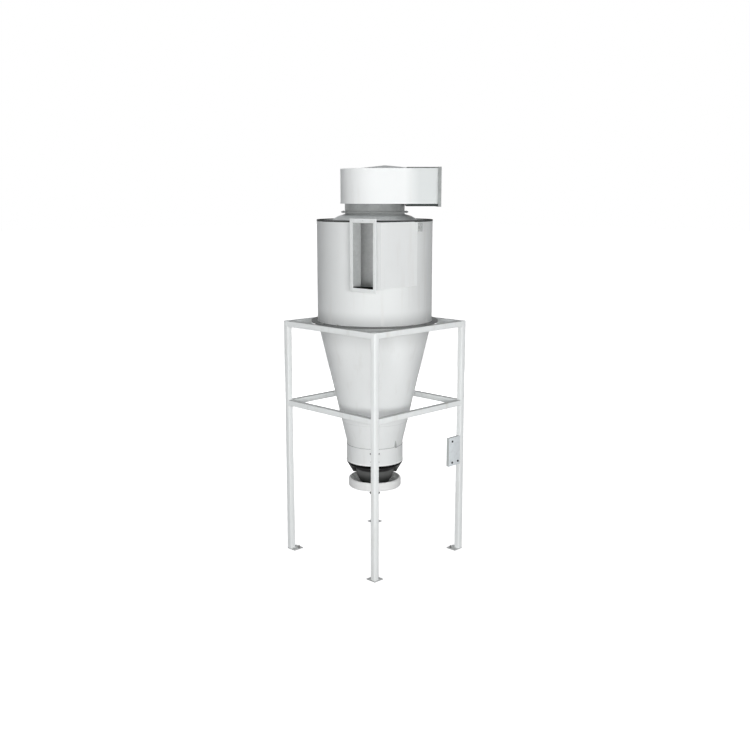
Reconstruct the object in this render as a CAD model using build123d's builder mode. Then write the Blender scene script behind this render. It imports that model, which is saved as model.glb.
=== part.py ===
from build123d import *
import os
from math import cos, radians, sin

os.makedirs("parts", exist_ok=True)

# Cyclone separator on a square-tube stand. Millimetres, +Z up.
# The origin is on the floor under the axis of the body. The stand's sides run along X and Y.
# The gas inlet enters on the +X side, and its flange faces -Y.
# The outlet scroll on top blows out half way between +X and +Y.

# Stand
stand_clear = 17.5
tube_side = 50.0
tube_wall = 3.0
stand_height = 2110.0
middle_frame_top = 1400.0
foot_side = 100.0
foot_thick = 8.0
anchor_hole_r = 7.0
anchor_inset = 75.0

# Body and cone
body_r = 500.0
sheet = 3.0
body_height = 870.0
cone_height = 1090.0
cone_end_r = 249.0
skirt_height = 35.0
ring_setback = 12.5
ring_thick = 12.0

# Roof and outlet pipe
roof_thick = 3.0
dome_r = 365.0
dome_rise = 53.0
dome_shoulder_in = 19.0
dome_shoulder_rise = 20.0
dome_crown_in = 49.0
dome_crown_rise = 36.0
pipe_r = 258.0
pipe_flange_z = 3055.0
pipe_flange_width = 31.0
pipe_flange_thick = 6.0
pipe_depth = 580.0

# Inlet duct
inlet_width = 237.0
inlet_height = 525.0
inlet_stub = 11.0
plate_tip = 35.0
flange_width = 30.0
flange_thick = 5.0
flange_hole_r = 4.5

# Outlet scroll
scroll_floor_z = 3125.0
scroll_height = 291.0
scroll_growth = 16.0
scroll_start_r = 270.0
tongue_angle = 20.0
outlet_reach = 545.0
outlet_flange_width = 24.0
outlet_flange_top = 10.0
outlet_flange_return = 22.0
outlet_hole_pitch = 116.0
tray_depth = 20.0
tray_inset = 6.0
tray_clear = 6.0
break_rise = 31.0
break_middle = 88.0
break_reach = 225.0
break_inset = 10.0
break_left_front = 225.0
break_left_back = 210.0

# Discharge
collar_wall = 3.0
collar_lap = 20.0
collar_height = 155.0
band_height = 27.0
band_width = 20.0
band_taper = 14.0
boot_height = 25.0
rib_width = 40.0
rib_drop = 60.0
rib_tuck = 0.4
rib_shoulder_in = 3.0
rib_shoulder_drop = 15.0
rib_knee_in = 31.0
rib_knee_drop = 62.0
rib_foot = 25.0
sleeve_top_r = 170.0
sleeve_upper_in = 3.0
sleeve_lower_in = 17.0
sleeve_end_r = 118.0
sleeve_height = 156.0
sleeve_wall = 5.0
lid_r = 236.0
lid_height = 78.0
lid_wall = 4.0
lid_rim = 14.0
lid_rim_thick = 5.0
lid_edge = 5.0
lid_land = 6.0
lid_dish = 48.0
throat_r = 100.0

# Small pieces
lug_angle = 1.0
lug_reach = 42.0
lug_height = 70.0
lug_thick = 10.0
lug_hole_r = 11.0
gusset_height = 62.0
gusset_reach = 26.0
gusset_thick = 6.0
gusset_tip = 12.0
box_width = 150.0
box_height = 260.0
box_depth = 32.0
box_bottom = 815.0
cover_thick = 3.0
knob_r = 6.5
knob_reach = 5.0
knob_inset = 34.0

# Derived places
inner_half = body_r + stand_clear
half = inner_half + tube_side
shell_r = body_r - sheet
roof_z = stand_height + body_height
cone_end_z = stand_height - cone_height
skirt_z = cone_end_z - skirt_height
collar_r = cone_end_r + collar_wall
collar_top = skirt_z + collar_lap
collar_bottom = collar_top - collar_height
band_bottom = collar_bottom - band_height
inlet_top = roof_z - sheet
inlet_bottom = inlet_top - inlet_height
inlet_inner_x = shell_r - inlet_width
inlet_reach = body_r + inlet_stub
pipe_bottom = roof_z - pipe_depth
boot_z = band_bottom - boot_height
lid_seat_z = boot_z - sleeve_height
lid_top = lid_seat_z + lid_dish
lid_base = lid_top - lid_height
far = 4 * body_r


def save(builder, name):
    builder.part.label = name
    export_step(builder.part, "parts/" + name + ".step")


# Stand: four legs on foot plates, tied by a frame at the top and one half way down

CORNERS = {"front": (1, -1), "right": (1, 1), "back": (-1, 1), "left": (-1, -1)}

for where, (sx, sy) in CORNERS.items():
    leg_x = sx * (half - tube_side / 2)
    leg_y = sy * (half - tube_side / 2)
    with BuildPart() as leg:
        with BuildSketch(Plane.XY.offset(foot_thick)):
            with Locations((leg_x, leg_y)):
                Rectangle(tube_side, tube_side)
        extrude(amount=stand_height - foot_thick)
        with BuildSketch(Plane.XY.offset(foot_thick)):
            with Locations((leg_x, leg_y)):
                Rectangle(tube_side - 2 * tube_wall, tube_side - 2 * tube_wall)
        extrude(amount=stand_height - foot_thick - tube_wall, mode=Mode.SUBTRACT)
    save(leg, "leg_" + where)

    foot_x = sx * (half - foot_side / 2)
    foot_y = sy * (half - foot_side / 2)
    hole_x = sx * (half - anchor_inset)
    hole_y = sy * (half - anchor_inset)
    with BuildPart() as foot:
        with BuildSketch():
            with Locations((foot_x, foot_y)):
                Rectangle(foot_side, foot_side)
            with Locations((hole_x, hole_y)):
                Circle(anchor_hole_r, mode=Mode.SUBTRACT)
        extrude(amount=foot_thick)
    save(foot, "foot_plate_" + where)

SIDES = {"front_right": 0, "back_right": 90, "back_left": 180, "front_left": 270}

for level, top_z in (("top", stand_height), ("middle", middle_frame_top)):
    for where, turn in SIDES.items():
        out = Vector(cos(radians(turn)), sin(radians(turn)), 0)
        along = Vector(-out.Y, out.X, 0)
        start = out * (half - tube_side / 2) - along * inner_half + Vector(0, 0, top_z - tube_side / 2)
        with BuildPart() as rail:
            with BuildSketch(Plane(origin=start, x_dir=out, z_dir=along)):
                Rectangle(tube_side, tube_side)
                Rectangle(tube_side - 2 * tube_wall, tube_side - 2 * tube_wall, mode=Mode.SUBTRACT)
            extrude(amount=2 * inner_half)
        save(rail, level + "_rail_" + where)

# Support ring that carries the body on the top frame

with BuildPart() as support_ring:
    with BuildSketch(Plane.XY.offset(stand_height)):
        Circle(half - ring_setback)
        Circle(body_r, mode=Mode.SUBTRACT)
    extrude(amount=ring_thick)
save(support_ring, "support_ring")

# Body shell, open where the inlet duct comes in along its outer side.
# The cut runs past the shell's side, so that no edge only touches the circle.

with BuildPart() as body_shell:
    with BuildSketch(Plane.XY.offset(stand_height)):
        Circle(body_r)
        Circle(shell_r, mode=Mode.SUBTRACT)
    extrude(amount=body_height)
    with BuildSketch(Plane.XY.offset(inlet_bottom)):
        with Locations((inlet_inner_x, 0)):
            Rectangle(body_r, inlet_reach, align=(Align.MIN, Align.MAX))
    extrude(amount=inlet_height, mode=Mode.SUBTRACT)
save(body_shell, "body_shell")

with BuildPart() as body_roof:
    with BuildSketch(Plane.XY.offset(roof_z)):
        Circle(body_r)
        Circle(pipe_r, mode=Mode.SUBTRACT)
    extrude(amount=roof_thick)
save(body_roof, "body_roof")

# Dished cone between the roof and the outlet pipe, pressed in three bands

dome_z = roof_z + roof_thick
with BuildPart() as roof_dome:
    with BuildSketch(Plane.XZ):
        with BuildLine():
            Polyline(
                (dome_r, dome_z),
                (dome_r - dome_shoulder_in, dome_z + dome_shoulder_rise),
                (dome_r - dome_crown_in, dome_z + dome_crown_rise),
                (pipe_r, dome_z + dome_rise),
                (pipe_r, dome_z + dome_rise - sheet),
                (dome_r - dome_crown_in - sheet / 2, dome_z + dome_crown_rise - sheet),
                (dome_r - dome_shoulder_in - sheet, dome_z + dome_shoulder_rise - sheet),
                (dome_r - 2 * sheet, dome_z),
                close=True,
            )
        make_face()
    revolve(axis=Axis.Z)
save(roof_dome, "roof_dome")

# Outlet pipe, which hangs through the roof into the body, and the neck above it.
# Each ends in a flange of its own, and the two flanges meet.

PIPES = (
    ("outlet_pipe", pipe_bottom, pipe_flange_z),
    ("scroll_neck", pipe_flange_z, scroll_floor_z),
)
for name, low, high in PIPES:
    with BuildPart() as pipe:
        with BuildSketch(Plane.XY.offset(low)):
            Circle(pipe_r)
            Circle(pipe_r - sheet, mode=Mode.SUBTRACT)
        extrude(amount=high - low)
    save(pipe, name)

for name, low in (("pipe_flange", pipe_flange_z - pipe_flange_thick), ("neck_flange", pipe_flange_z)):
    with BuildPart() as ring:
        with BuildSketch(Plane.XY.offset(low)):
            Circle(pipe_r + pipe_flange_width)
            Circle(pipe_r, mode=Mode.SUBTRACT)
        extrude(amount=pipe_flange_thick)
    save(ring, name)

# Inlet duct: two walls between two plates, the outer wall in line with the body's side.
# The plates' pointed ends against the shell are cut off square.

with BuildPart() as inlet_outer_wall:
    with BuildSketch(Plane.XY.offset(inlet_bottom)):
        with Locations((shell_r, 0)):
            Rectangle(sheet, inlet_reach, align=(Align.MIN, Align.MAX))
    extrude(amount=inlet_height)
save(inlet_outer_wall, "inlet_outer_wall")

with BuildPart() as inlet_inner_wall:
    with BuildSketch(Plane.XY.offset(inlet_bottom)):
        with Locations((inlet_inner_x, 0)):
            Rectangle(sheet, inlet_reach, align=(Align.MAX, Align.MAX))
        Circle(body_r, mode=Mode.SUBTRACT)
    extrude(amount=inlet_height)
save(inlet_inner_wall, "inlet_inner_wall")

for name, low in (("inlet_bottom_plate", inlet_bottom - sheet), ("inlet_top_plate", inlet_top)):
    with BuildPart() as plate:
        with BuildSketch(Plane.XY.offset(low)):
            with Locations((inlet_inner_x - sheet, 0)):
                Rectangle(inlet_width + 2 * sheet, inlet_reach, align=(Align.MIN, Align.MAX))
            Circle(body_r, mode=Mode.SUBTRACT)
            with Locations((body_r, 0)):
                Rectangle(2 * plate_tip, 2 * plate_tip, mode=Mode.SUBTRACT)
        extrude(amount=sheet)
    save(plate, name)

duct_x = inlet_inner_x + inlet_width / 2
duct_z = (inlet_top + inlet_bottom) / 2
inlet_hole_x = inlet_width / 2 + sheet + flange_width / 2
inlet_hole_z = inlet_height / 2 + sheet + flange_width / 2
with BuildPart() as inlet_flange:
    face = Plane(origin=(duct_x, -inlet_reach, duct_z), x_dir=(1, 0, 0), z_dir=(0, -1, 0))
    outer_w = inlet_width + 2 * (sheet + flange_width)
    outer_h = inlet_height + 2 * (sheet + flange_width)
    with BuildSketch(face):
        Rectangle(outer_w, outer_h)
        Rectangle(inlet_width, inlet_height, mode=Mode.SUBTRACT)
        with GridLocations(2 * inlet_hole_x, inlet_hole_z / 2, 2, 5):
            Circle(flange_hole_r, mode=Mode.SUBTRACT)
        with GridLocations(0, 2 * inlet_hole_z, 1, 2):
            Circle(flange_hole_r, mode=Mode.SUBTRACT)
    extrude(amount=flange_thick)
save(inlet_flange, "inlet_flange")

# Outlet scroll: three arcs of growing radius round the pipe, then a straight duct.
# Its own axes: x along the outlet, y away from the front wall.


def scroll_plane(z):
    return Plane(origin=(0, 0, z), x_dir=(1, 1, 0), z_dir=(0, 0, 1))


step = scroll_growth / 2
tongue_x = -step + scroll_start_r * cos(radians(tongue_angle))
tongue_y = step + scroll_start_r * sin(radians(tongue_angle))
scroll_front = -(step + scroll_start_r + 2 * scroll_growth)


def scroll_line(inset, reach):
    r = scroll_start_r - inset
    CenterArc((-step, step), r, tongue_angle, 90 - tongue_angle)
    CenterArc((-step, -step), r + scroll_growth, 90, 90)
    CenterArc((step, -step), r + 2 * scroll_growth, 180, 90)
    start_x = -step + r * cos(radians(tongue_angle))
    start_y = step + r * sin(radians(tongue_angle))
    front = scroll_front + inset
    Polyline((step, front), (reach, front), (reach, start_y), (start_x, start_y))


with BuildPart() as scroll_wall:
    with BuildSketch(scroll_plane(scroll_floor_z + sheet)):
        with BuildLine():
            scroll_line(0, outlet_reach)
        make_face()
        with BuildLine():
            scroll_line(sheet, outlet_reach + sheet)
        make_face(mode=Mode.SUBTRACT)
    extrude(amount=scroll_height - 2 * sheet)
save(scroll_wall, "scroll_wall")

with BuildPart() as scroll_floor:
    with BuildSketch(scroll_plane(scroll_floor_z)):
        with BuildLine():
            scroll_line(0, outlet_reach)
        make_face()
        Circle(pipe_r - sheet, mode=Mode.SUBTRACT)
    extrude(amount=sheet)
save(scroll_floor, "scroll_floor")

# The top sheet is cross-broken: four shallow facets rise to one point, so that it doesn't drum.
# The same low pyramid, one sheet lower, is taken away again below it.
scroll_top_z = scroll_floor_z + scroll_height - sheet
break_left = break_middle - break_reach
break_right = break_middle + break_reach


def break_pyramid(base_z, mode):
    with BuildSketch(scroll_plane(base_z)) as base:
        Polygon(
            (break_left, -break_left_front),
            (break_right, scroll_front + break_inset),
            (break_right, tongue_y - 2 * break_inset),
            (break_left, break_left_back),
            align=None,
        )
    point = scroll_plane(base_z).from_local_coords(Vector(break_middle, -step, break_rise))
    loft(sections=[base.sketch.face(), Vertex(*point)], ruled=True, mode=mode)


with BuildPart() as scroll_top:
    with BuildSketch(scroll_plane(scroll_top_z)):
        with BuildLine():
            scroll_line(0, outlet_reach)
        make_face()
    extrude(amount=sheet)
    break_pyramid(scroll_top_z + sheet, Mode.ADD)
    break_pyramid(scroll_top_z, Mode.SUBTRACT)
save(scroll_top, "scroll_top")

# A shallow tray stiffens the duct's floor beyond the neck
with BuildPart() as outlet_floor_tray:
    with BuildSketch(scroll_plane(scroll_floor_z)):
        with BuildLine():
            scroll_line(tray_inset, outlet_reach)
        make_face()
        with Locations((pipe_r + tray_clear, 0)):
            Rectangle(far, far, align=(Align.MAX, Align.CENTER), mode=Mode.SUBTRACT)
    extrude(amount=-tray_depth)
    offset(amount=-sheet, openings=outlet_floor_tray.faces().sort_by(Axis.Z)[0])
save(outlet_floor_tray, "outlet_floor_tray")

# Rim of the outlet: a flange folded back round its outer edge, lower at the top than elsewhere
duct_span = tongue_y - scroll_front
duct_mid_y = (tongue_y + scroll_front) / 2
duct_mid_z = scroll_floor_z + scroll_height / 2
across = Vector(-1, 1, 0).normalized()
out_way = Vector(1, 1, 0).normalized()
with BuildPart() as outlet_flange:
    mouth = out_way * outlet_reach + across * duct_mid_y + Vector(0, 0, duct_mid_z)
    mouth_plane = Plane(origin=mouth, x_dir=across, z_dir=out_way)
    rim_w = duct_span + 2 * outlet_flange_width
    rim_h = scroll_height + outlet_flange_top + outlet_flange_width
    rim_lift = (outlet_flange_top - outlet_flange_width) / 2
    with BuildSketch(mouth_plane):
        with Locations((0, rim_lift)):
            Rectangle(rim_w, rim_h)
        Rectangle(duct_span - 2 * sheet, scroll_height - 2 * sheet, mode=Mode.SUBTRACT)
        with GridLocations(duct_span + outlet_flange_width, outlet_hole_pitch, 2, 3):
            Circle(flange_hole_r, mode=Mode.SUBTRACT)
    extrude(amount=flange_thick)
    with BuildSketch(mouth_plane):
        with Locations((0, rim_lift)):
            Rectangle(rim_w, rim_h)
            Rectangle(rim_w - 2 * sheet, rim_h - 2 * sheet, mode=Mode.SUBTRACT)
    extrude(amount=-outlet_flange_return)
save(outlet_flange, "outlet_flange")

# Cone, its skirt and the collar that laps over the skirt

with BuildPart() as main_cone:
    with BuildSketch(Plane.XZ):
        with BuildLine():
            Polyline(
                (body_r, stand_height),
                (cone_end_r, cone_end_z),
                (cone_end_r, skirt_z),
                (cone_end_r - sheet, skirt_z),
                (cone_end_r - sheet, cone_end_z),
                (shell_r, stand_height),
                close=True,
            )
        make_face()
    revolve(axis=Axis.Z)
save(main_cone, "main_cone")

with BuildPart() as discharge_collar:
    with BuildSketch(Plane.XY.offset(collar_bottom)):
        Circle(collar_r)
        Circle(cone_end_r, mode=Mode.SUBTRACT)
    extrude(amount=collar_height)
save(discharge_collar, "discharge_collar")

# Rubber boot under the collar: a seal band, a ribbed head and the sleeve that narrows to the lid.
# The four ribs of the head lie against the sleeve, in line with the stand's legs.

with BuildPart() as seal_band:
    with BuildSketch(Plane.XZ):
        with BuildLine():
            Polyline(
                (collar_r, collar_bottom),
                (collar_r - band_taper, band_bottom),
                (cone_end_r - band_width, band_bottom),
                (cone_end_r - band_width, collar_bottom),
                close=True,
            )
        make_face()
    revolve(axis=Axis.Z)
save(seal_band, "seal_band")

upper_z = boot_z - sleeve_height / 3
lower_z = boot_z - sleeve_height * 2 / 3
boot_r = collar_r - band_taper
boot_lining_r = cone_end_r - band_width
sleeve_upper_r = sleeve_top_r - sleeve_upper_in
sleeve_lower_r = sleeve_top_r - sleeve_lower_in
rib_top_r = boot_r - rib_shoulder_in
with BuildPart() as boot_head:
    with BuildSketch(Plane.XZ):
        with BuildLine():
            Polyline(
                (boot_r, band_bottom),
                (sleeve_top_r, boot_z),
                (sleeve_top_r - sleeve_wall, boot_z),
                (sleeve_top_r - sleeve_wall, boot_z + sleeve_wall),
                (boot_lining_r, band_bottom),
                close=True,
            )
        make_face()
    revolve(axis=Axis.Z)
    for turn in (45, 135, 225, 315):
        out = Vector(cos(radians(turn)), sin(radians(turn)), 0)
        side_way = Vector(out.Y, -out.X, 0)
        with BuildSketch(Plane(origin=side_way * (-rib_width / 2), x_dir=out, z_dir=side_way)):
            with BuildLine():
                Polyline(
                    (sleeve_lower_r, boot_z + sleeve_wall / 2),
                    (rib_top_r, band_bottom - rib_tuck),
                    (rib_top_r, band_bottom - rib_shoulder_drop),
                    (boot_r - rib_knee_in, band_bottom - rib_knee_drop),
                    (sleeve_top_r + rib_foot, boot_z - rib_drop),
                    (sleeve_lower_r, boot_z - rib_drop),
                    close=True,
                )
            make_face()
        extrude(amount=rib_width)
    with BuildSketch(Plane.XZ):
        with BuildLine():
            Polyline(
                (0, boot_z + sleeve_wall),
                (sleeve_top_r - sleeve_wall, boot_z + sleeve_wall),
                (sleeve_top_r - sleeve_wall, boot_z),
                (sleeve_top_r, boot_z),
                (sleeve_upper_r, upper_z),
                (sleeve_lower_r, lower_z),
                (0, lower_z),
                close=True,
            )
        make_face()
    revolve(axis=Axis.Z, mode=Mode.SUBTRACT)
save(boot_head, "boot_head")

with BuildPart() as flexible_sleeve:
    with BuildSketch(Plane.XZ):
        with BuildLine():
            Polyline(
                (sleeve_top_r, boot_z),
                (sleeve_upper_r, upper_z),
                (sleeve_lower_r, lower_z),
                (sleeve_end_r, lid_seat_z),
                (sleeve_end_r - sleeve_wall, lid_seat_z),
                (sleeve_lower_r - sleeve_wall, lower_z),
                (sleeve_upper_r - sleeve_wall, upper_z),
                (sleeve_top_r - sleeve_wall, boot_z),
                close=True,
            )
        make_face()
    revolve(axis=Axis.Z)
save(flexible_sleeve, "flexible_sleeve")

# Lid that closes the container below: a spun ring with a dished top, open underneath

with BuildPart() as container_lid:
    with BuildSketch(Plane.XZ):
        with BuildLine():
            Polyline(
                (lid_r, lid_base),
                (lid_r, lid_top - lid_edge),
                (lid_r - lid_edge, lid_top),
                (lid_r - lid_rim, lid_top),
                (sleeve_end_r + lid_land, lid_seat_z),
                (throat_r, lid_seat_z),
                (throat_r, lid_base),
                (throat_r + lid_wall, lid_base),
                (throat_r + lid_wall, lid_seat_z - lid_wall),
                (sleeve_end_r + lid_land, lid_seat_z - lid_wall),
                (lid_r - lid_rim, lid_top - lid_rim_thick),
                (lid_r - lid_wall, lid_top - lid_rim_thick),
                (lid_r - lid_wall, lid_base),
                close=True,
            )
        make_face()
    revolve(axis=Axis.Z)
save(container_lid, "container_lid")

# Two fins between the skirt and the collar, and two lifting lugs at the top of the shell

with BuildPart() as collar_fins:
    with BuildSketch(Plane.XZ.offset(gusset_thick / 2)):
        for flip in (1, -1):
            with BuildLine():
                Polyline(
                    (flip * cone_end_r, collar_top),
                    (flip * (cone_end_r + gusset_reach), collar_top),
                    (flip * (cone_end_r + gusset_tip), collar_top + gusset_height),
                    (flip * cone_end_r, collar_top + gusset_height),
                    close=True,
                )
            make_face()
    extrude(amount=-gusset_thick)
    with BuildSketch(Plane.XZ):
        with BuildLine():
            Polyline(
                (0, skirt_z),
                (cone_end_r, skirt_z),
                (cone_end_r, cone_end_z),
                (body_r, stand_height),
                (0, stand_height),
                close=True,
            )
        make_face()
    revolve(axis=Axis.Z, mode=Mode.SUBTRACT)
save(collar_fins, "collar_fins")

with BuildPart() as lifting_lugs:
    lug_top = roof_z - lug_thick
    for turn in (lug_angle, lug_angle + 180):
        out = Vector(cos(radians(turn)), sin(radians(turn)), 0)
        side_way = Vector(-out.Y, out.X, 0)
        root = Plane(origin=side_way * (-lug_thick / 2) + Vector(0, 0, lug_top), x_dir=out, z_dir=side_way)
        with BuildSketch(root):
            with Locations((body_r - sheet, 0)):
                Rectangle(lug_reach + sheet, lug_height, align=(Align.MIN, Align.MIN))
            with Locations((body_r + lug_reach / 2, lug_height / 2)):
                Circle(lug_hole_r, mode=Mode.SUBTRACT)
        extrude(amount=lug_thick)
    with BuildSketch():
        Circle(body_r)
    extrude(amount=2 * roof_z, mode=Mode.SUBTRACT)
save(lifting_lugs, "lifting_lugs")

# Control box on the side of the right leg, its cover level with the stand's front-right side

box_y = inner_half - box_width / 2
box_z = box_bottom + box_height / 2
box_back = Plane(origin=(half - box_depth, box_y, box_z), x_dir=(0, 1, 0), z_dir=(1, 0, 0))
with BuildPart() as control_box:
    with BuildSketch(box_back):
        RectangleRounded(box_width, box_height, cover_thick)
    extrude(amount=box_depth - cover_thick)
save(control_box, "control_box")

with BuildPart() as box_cover:
    with BuildSketch(box_back.offset(box_depth - cover_thick)):
        RectangleRounded(box_width, box_height, cover_thick)
    extrude(amount=cover_thick)
save(box_cover, "box_cover")

with BuildPart() as box_knobs:
    with BuildSketch(box_back.offset(box_depth)):
        for knob_x, knob_y in ((-1, 1), (-1, -1), (1, -1)):
            with Locations((knob_x * (box_width / 2 - knob_inset), knob_y * (box_height / 2 - knob_inset))):
                Circle(knob_r)
    extrude(amount=knob_reach)
save(box_knobs, "box_knobs")
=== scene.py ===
from math import cos, hypot, radians, sin

import bpy
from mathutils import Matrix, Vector


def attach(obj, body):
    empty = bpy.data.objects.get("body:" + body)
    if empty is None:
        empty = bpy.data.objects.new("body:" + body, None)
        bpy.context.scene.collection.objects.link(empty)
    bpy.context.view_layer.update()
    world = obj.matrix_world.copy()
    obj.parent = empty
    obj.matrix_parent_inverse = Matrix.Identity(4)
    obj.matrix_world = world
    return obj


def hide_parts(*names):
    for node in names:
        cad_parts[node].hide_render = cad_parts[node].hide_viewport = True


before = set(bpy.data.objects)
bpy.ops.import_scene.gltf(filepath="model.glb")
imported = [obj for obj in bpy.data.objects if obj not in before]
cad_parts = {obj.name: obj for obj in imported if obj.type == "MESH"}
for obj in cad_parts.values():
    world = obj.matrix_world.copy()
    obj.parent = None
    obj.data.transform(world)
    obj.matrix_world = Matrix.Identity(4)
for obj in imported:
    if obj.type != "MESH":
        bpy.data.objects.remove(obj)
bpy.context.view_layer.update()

# Everything is in metres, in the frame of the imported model.
BODY = "root"

# Sizes that the pieces share with the solids
SHEET = 0.003
BODY_R = 0.500
ROOF_Z = 2.980
PIPE_R = 0.258
SCROLL_LOW, SCROLL_HIGH = 3.125, 3.416

# Stand: its top, half its width over the legs, its square tube, half its width between them
STAND_TOP = 2.110
HALF = 0.5675
TUBE = 0.050
INNER_HALF = HALF - TUBE

# Inlet duct: inner faces of its walls and plates, and the mouth
DUCT_IN, DUCT_OUT = 0.260, 0.497
DUCT_FLOOR, DUCT_CEILING = 2.452, 2.977
MOUTH_Y = -0.511

# The outlet points halfway between +X and +Y.
OUTLET_TURN = 45
OUTLET_WAY = (0.7071, 0.7071, 0)

# Steps in a full turn, and how close points are merged
ROUND = 128
MERGE = 0.000005

# ---- Camera, at the photograph's place ----

CAMERA_DISTANCE = 8.313   # from the axis
EYE_HEIGHT = 3.1856
CAMERA_AZIMUTH = 45.0     # degrees from -Y towards +X
PITCH = 10.647            # degrees below level
AXIS_DRIFT = 0.0145       # degrees that it looks past the axis
FOCAL_LENGTH = 45.6       # millimetres, as is the sensor's width
SENSOR_WIDTH = 36


def photo_camera():
    turn = radians(CAMERA_AZIMUTH)
    place = (CAMERA_DISTANCE * sin(turn), -CAMERA_DISTANCE * cos(turn), EYE_HEIGHT)
    aim = (radians(90 - PITCH), 0, radians(CAMERA_AZIMUTH - AXIS_DRIFT))
    bpy.ops.object.camera_add(location=place, rotation=aim)
    camera = bpy.context.object
    camera.name = "photo_camera"
    camera.data.lens = FOCAL_LENGTH
    camera.data.sensor_width = SENSOR_WIDTH
    camera.data.clip_start = 0.1
    camera.data.clip_end = 200
    bpy.context.scene.camera = camera


photo_camera()

# ---- Finishes ----


def add_node(tree, kind, **settings):
    """Adds a node; a setting is a link or a value for the input of that name, or else an option."""
    made = tree.nodes.new(kind)
    for key, value in settings.items():
        if isinstance(value, bpy.types.NodeSocket):
            tree.links.new(value, made.inputs[key])
        elif key in made.inputs:
            made.inputs[key].default_value = value
        else:
            setattr(made, key, value)
    return made


def object_place(tree):
    return add_node(tree, "ShaderNodeTexCoord").outputs["Object"]


def map_range(tree, value, start, end, low=0.0, high=1.0, **settings):
    """Turns a value that runs from start to end into one from low to high."""
    ends = {"From Min": start, "From Max": end, "To Min": low, "To Max": high}
    return add_node(tree, "ShaderNodeMapRange", Value=value, **ends, **settings).outputs[0]


def toned(colour, amount):
    return tuple(amount * c for c in colour)


def blend_colours(tree, share, first, second):
    """Mixes two colours by a share that varies over the surface."""
    mixer = add_node(tree, "ShaderNodeMix", data_type="RGBA")
    tree.links.new(share, mixer.inputs[0])
    for socket, colour in ((mixer.inputs[6], first), (mixer.inputs[7], second)):
        if isinstance(colour, bpy.types.NodeSocket):
            tree.links.new(colour, socket)
        else:
            socket.default_value = (*colour, 1)
    return mixer.outputs[2]


def noise_share(tree, scale, low, high, stretch=(1, 1, 1), detail=4.0):
    """A noise over the surface, spread from 0 to 1 between low and high."""
    fit = add_node(tree, "ShaderNodeMapping", Vector=object_place(tree), Scale=stretch)
    grain = add_node(tree, "ShaderNodeTexNoise", Vector=fit.outputs[0], Scale=scale,
                     Detail=detail, Roughness=0.55)
    return map_range(tree, grain.outputs[0], low, high)


def cell_pattern(tree, scale):
    """Small cells over the surface, with their colours and distances."""
    place = object_place(tree)
    return add_node(tree, "ShaderNodeTexVoronoi", Vector=place, Scale=scale, feature="F1").outputs


def share_by_height(tree, start, end):
    """Rises from 0 at one height to 1 at the other, which may be above or below it."""
    split = add_node(tree, "ShaderNodeSeparateXYZ", Vector=object_place(tree))
    return map_range(tree, split.outputs["Z"], start, end, interpolation_type="SMOOTHSTEP")


def share_along_outlet(tree, start, end):
    """Rises from 0 to 1 along the outlet, between two distances from the axis."""
    place = object_place(tree)
    along = add_node(tree, "ShaderNodeVectorMath", Vector=place, operation="DOT_PRODUCT")
    along.inputs[1].default_value = OUTLET_WAY
    return map_range(tree, along.outputs["Value"], start, end)


def roughness_range(tree, shader, share, low, high):
    tree.links.new(map_range(tree, share, 0.0, 1.0, low, high), shader.inputs["Roughness"])


def raise_bump(tree, shader, height, strength, distance):
    bump = add_node(tree, "ShaderNodeBump", Height=height, Strength=strength, Distance=distance)
    tree.links.new(bump.outputs[0], shader.inputs["Normal"])


def start_finish(name, metallic=0.0, specular=0.5):
    finish = bpy.data.materials.new(name)
    finish.use_nodes = True
    shader = finish.node_tree.nodes["Principled BSDF"]
    shader.inputs["Metallic"].default_value = metallic
    shader.inputs["Specular IOR Level"].default_value = specular
    return finish, finish.node_tree, shader


def painted(name, colour, soiled, shaded_far_colour=None, painted_shade=None):
    """Sprayed paint: cloudy tone, faint runs of dust, and a fine orange-peel surface.

    Of the last two arguments, the first is a darker tone far out along the outlet, painted shade on
    the flat duct panel; the second is the height where painted shade is darkest, the height where
    it ends, and the share of its colour that it leaves.
    """
    finish, tree, shader = start_finish(name, specular=0.1)
    clouds = noise_share(tree, scale=2.2, low=0.35, high=0.75)
    runs = noise_share(tree, scale=5.0, low=0.55, high=0.95, stretch=(3.5, 3.5, 0.35))
    tone = blend_colours(tree, clouds, colour, toned(colour, 0.965))
    # Painted shade: the colour darkens towards one height, where the ring and frame shade the body
    # and cone.
    if painted_shade:
        darkest_height, unshaded_height, depth = painted_shade
        share = share_by_height(tree, unshaded_height, darkest_height)
        tone = blend_colours(tree, share, tone, toned(colour, depth))
    # Painted shade: the flat duct panel takes a darker tone than the curved wall.
    if shaded_far_colour:
        share = share_along_outlet(tree, start=0.25, end=0.37)
        tone = blend_colours(tree, share, tone, shaded_far_colour)
    tone = blend_colours(tree, runs, tone, soiled)
    tree.links.new(tone, shader.inputs["Base Color"])
    roughness_range(tree, shader, clouds, low=0.5, high=0.62)
    peel = noise_share(tree, scale=420.0, low=0.3, high=0.7, detail=2.0)
    raise_bump(tree, shader, peel, strength=0.05, distance=0.0006)
    return finish


def zinc_sheet(name, colour, shade, metallic=0.35, rough=(0.42, 0.62)):
    """Galvanised sheet: dull spangles of two greys."""
    finish, tree, shader = start_finish(name, metallic=metallic, specular=0.4)
    cells = cell_pattern(tree, scale=55.0)
    spangle = add_node(tree, "ShaderNodeSeparateColor", Color=cells["Color"])
    clouds = noise_share(tree, scale=6.0, low=0.3, high=0.75)
    tone = blend_colours(tree, spangle.outputs[0], colour, toned(colour, 0.88))
    tone = blend_colours(tree, clouds, tone, shade)
    tree.links.new(tone, shader.inputs["Base Color"])
    roughness_range(tree, shader, spangle.outputs[1], *rough)
    scratch = noise_share(tree, scale=260.0, low=0.3, high=0.7, detail=3.0)
    raise_bump(tree, shader, scratch, strength=0.08, distance=0.0005)
    return finish


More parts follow.
